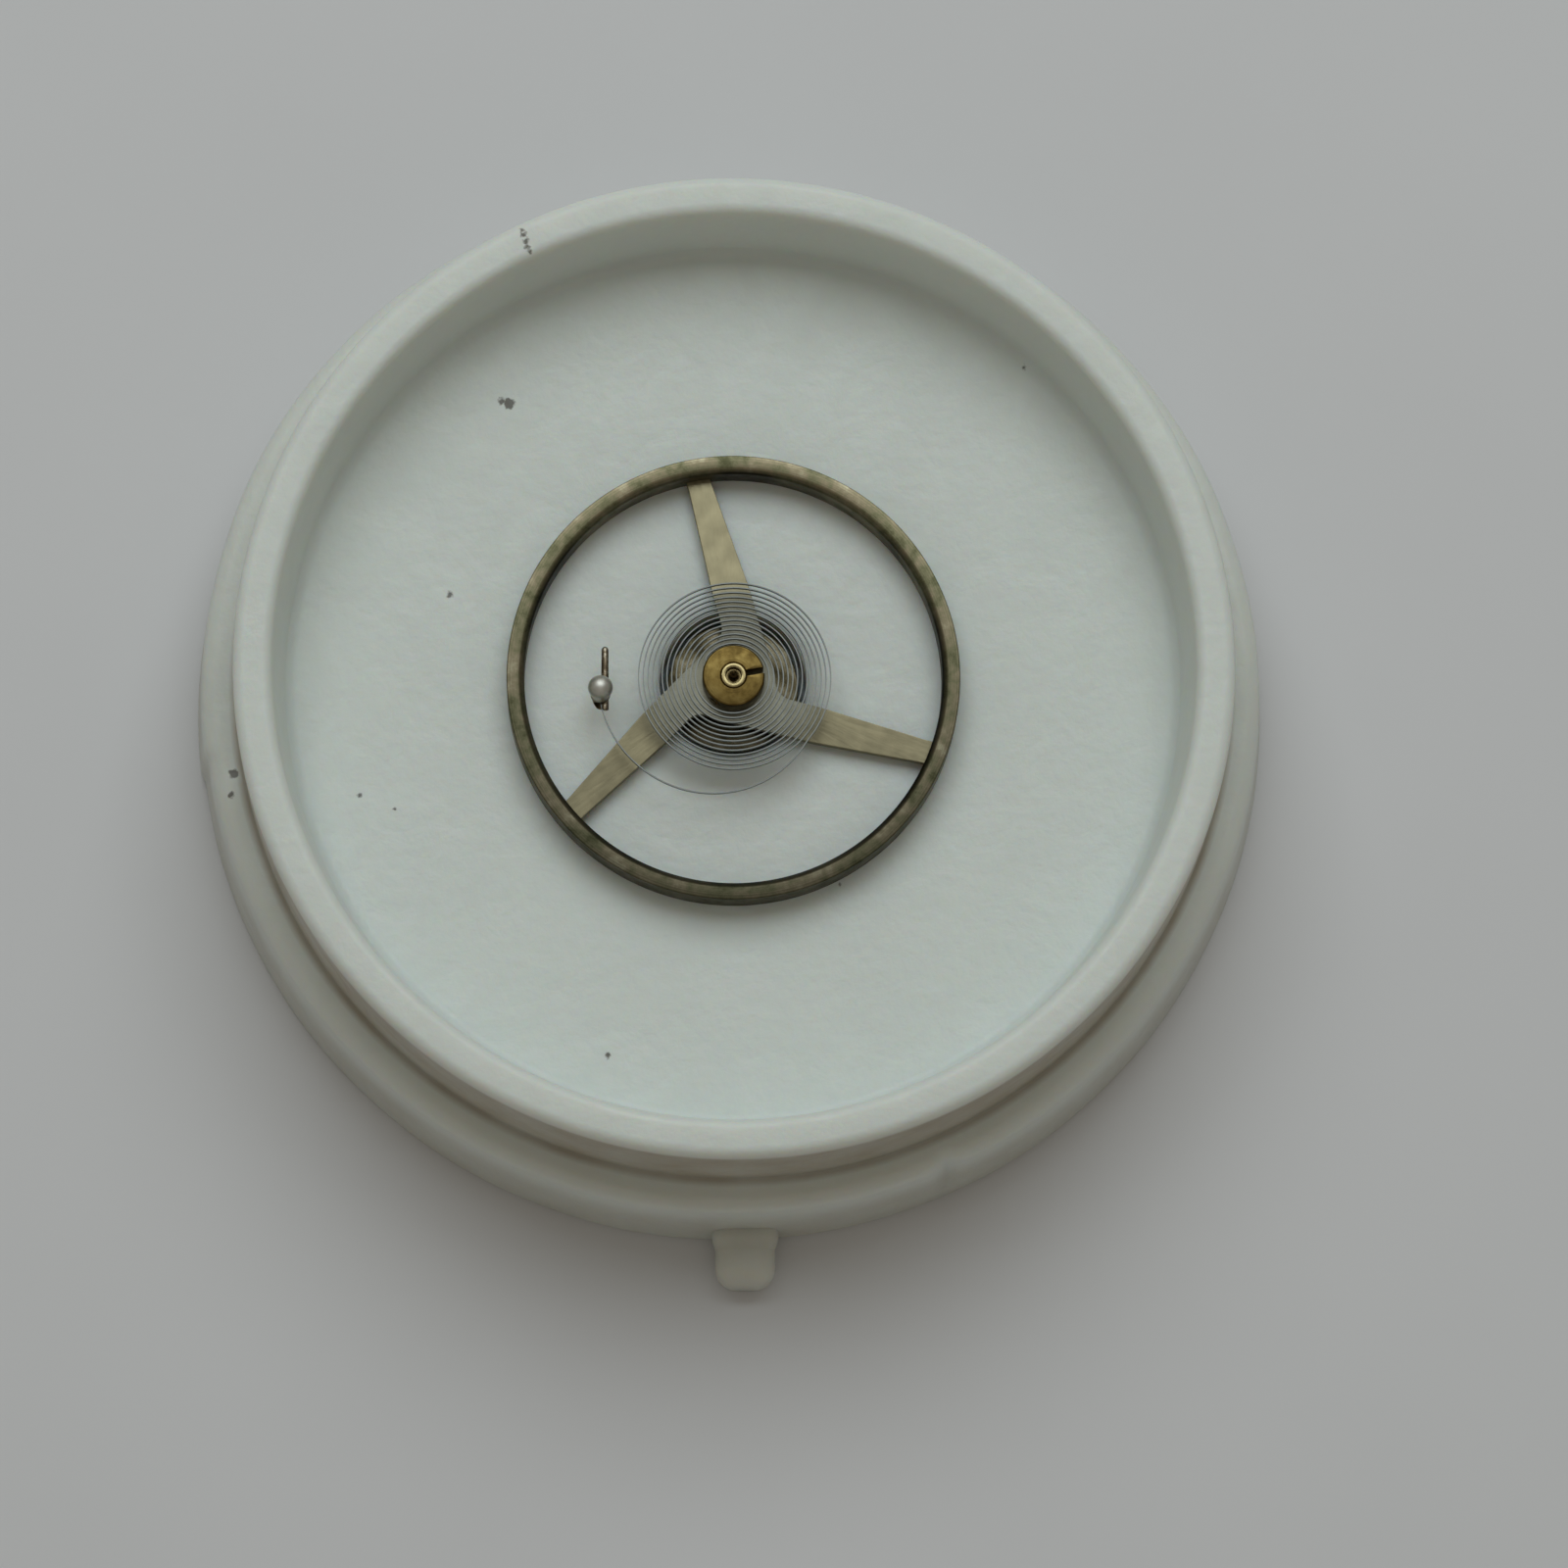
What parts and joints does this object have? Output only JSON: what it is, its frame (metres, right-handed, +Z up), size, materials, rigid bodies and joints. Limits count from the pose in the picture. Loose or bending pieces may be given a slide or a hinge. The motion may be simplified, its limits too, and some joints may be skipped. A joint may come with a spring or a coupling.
{
  "type": "watch balance complete in a moulded storage dish",
  "caption": "Watch balance wheel with staff, rollers, collet, hairspring and stud, lying in a round white moulded dish with a stepped rim.",
  "frame": {"origin": "centre of the dish's foot, on the surface that it stands on", "axes": "+Z up, along the dish's axis and the balance staff; -Y towards the gate nub on the skirt; +X to the right seen from the nub's side"},
  "size_m": [0.0244, 0.0255, 0.0061],
  "materials": {
    "white_plastic": "moulded, satin",
    "wheel_alloy": "aged gilt nickel alloy, brushed",
    "staff_steel": "turned and polished",
    "roller_bronze": "polished, tarnished",
    "ruby": "polished synthetic ruby",
    "collet_brass": "turned brass",
    "spring_alloy": "drawn and rolled ribbon",
    "stud_steel": "polished",
    "pin_brass": "drawn, tarnished"
  },
  "bodies": {
    "dish": {"dish": "white_plastic"},
    "spring_and_stud": {"hairspring": "spring_alloy", "stud": "stud_steel", "stud_pin": "pin_brass"},
    "balance": {"balance_wheel": "wheel_alloy", "balance_staff": "staff_steel", "roller_table": "roller_bronze", "safety_roller": "roller_bronze", "impulse_jewel": "ruby", "collet": "collet_brass", "collet_pin": "collet_brass"}
  },
  "joints": [
    {"name": "lift_out", "type": "slide", "parent": "dish", "child": "spring_and_stud", "axis": [0, 0, 1], "range_m": [0, 0.012]},
    {"name": "balance_swing", "type": "hinge", "parent": "spring_and_stud", "child": "balance", "pos_m": [0, 0, 0.0044], "axis": [0, 0, 1], "range_deg": [-300, 300], "stiffness_Nm_per_rad": 0.0000003, "deforming": ["hairspring"]}
  ]
}
